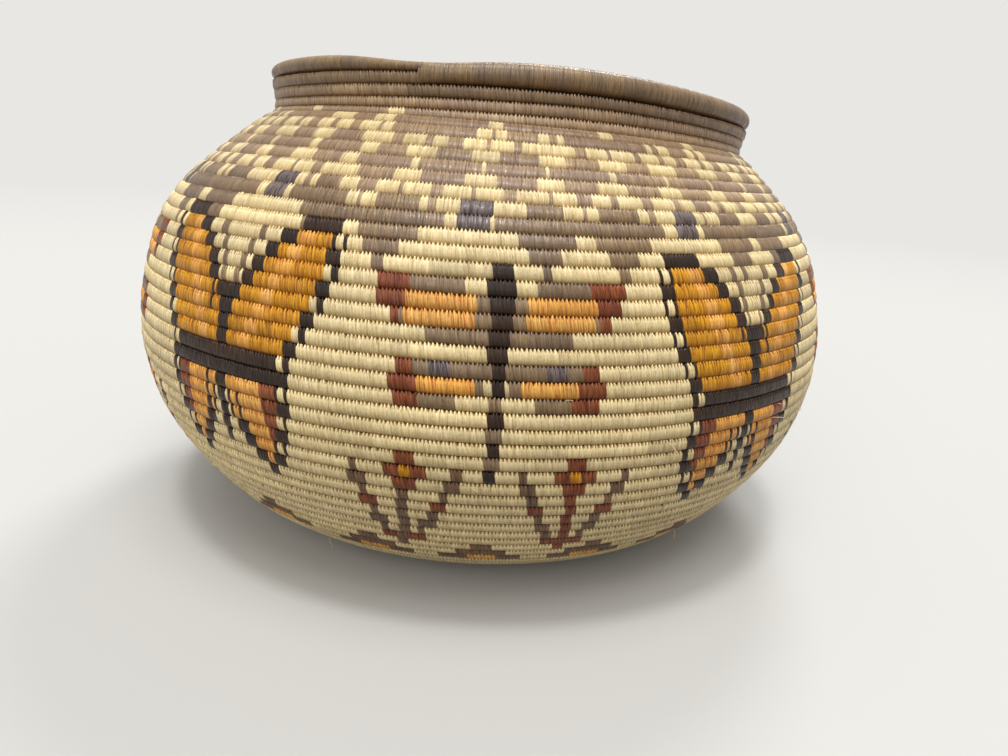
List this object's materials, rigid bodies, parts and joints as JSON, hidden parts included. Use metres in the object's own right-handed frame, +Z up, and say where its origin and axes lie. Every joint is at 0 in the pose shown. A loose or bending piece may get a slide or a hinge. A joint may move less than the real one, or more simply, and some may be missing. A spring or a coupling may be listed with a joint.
{
  "type": "coiled basket",
  "caption": "Round-bellied coiled basket with a short neck and a thick rim: a fibre-wrapped coil wound up from a knot in its flat base, with a stitched picture band.",
  "frame": {"origin": "the middle of the underside, on the surface that the basket stands on", "axes": "+Z up through the mouth, +X to the right and +Y to the back of the side whose rim holds the end of the coil"},
  "size_m": [0.3398, 0.3397, 0.2134],
  "materials": {
    "natural_fibre": "undyed palm fibre, satin",
    "taupe_fibre": "brown-grey dyed palm fibre, satin"
  },
  "bodies": {
    "root": {"start_knot": "natural_fibre", "base_coil_01": "natural_fibre", "base_coil_02": "natural_fibre", "base_coil_03": "natural_fibre", "base_coil_04": "natural_fibre", "base_coil_05": "natural_fibre", "wall_coil_01": "natural_fibre", "wall_coil_02": "natural_fibre", "wall_coil_03": "natural_fibre", "wall_coil_04": "natural_fibre", "wall_coil_05": "natural_fibre", "wall_coil_06": "natural_fibre", "wall_coil_07": "natural_fibre", "wall_coil_08": "natural_fibre", "wall_coil_09": "natural_fibre", "wall_coil_10": "natural_fibre", "wall_coil_11": "natural_fibre", "wall_coil_12": "natural_fibre", "wall_coil_13": "natural_fibre", "wall_coil_14": "natural_fibre", "wall_coil_15": "natural_fibre", "wall_coil_16": "natural_fibre", "wall_coil_17": "natural_fibre", "wall_coil_18": "natural_fibre", "wall_coil_19": "natural_fibre", "wall_coil_20": "natural_fibre", "wall_coil_21": "natural_fibre", "wall_coil_22": "natural_fibre", "wall_coil_23": "natural_fibre", "wall_coil_24": "natural_fibre", "wall_coil_25": "natural_fibre", "wall_coil_26": "natural_fibre", "wall_coil_27": "natural_fibre", "wall_coil_28": "natural_fibre", "wall_coil_29": "natural_fibre", "wall_coil_30": "natural_fibre", "wall_coil_31": "natural_fibre", "wall_coil_32": "natural_fibre", "wall_coil_33": "natural_fibre", "wall_coil_34": "natural_fibre", "wall_coil_35": "natural_fibre", "wall_coil_36": "natural_fibre", "wall_coil_37": "natural_fibre", "wall_coil_38": "natural_fibre", "wall_coil_39": "natural_fibre", "wall_coil_40": "natural_fibre", "wall_coil_41": "natural_fibre", "wall_coil_42": "natural_fibre", "wall_coil_43": "taupe_fibre", "wall_coil_44": "taupe_fibre", "wall_coil_45": "taupe_fibre", "wall_coil_46": "taupe_fibre", "wall_coil_47": "taupe_fibre", "wall_coil_48": "taupe_fibre", "rim_coil": "taupe_fibre"}
  },
  "joints": []
}
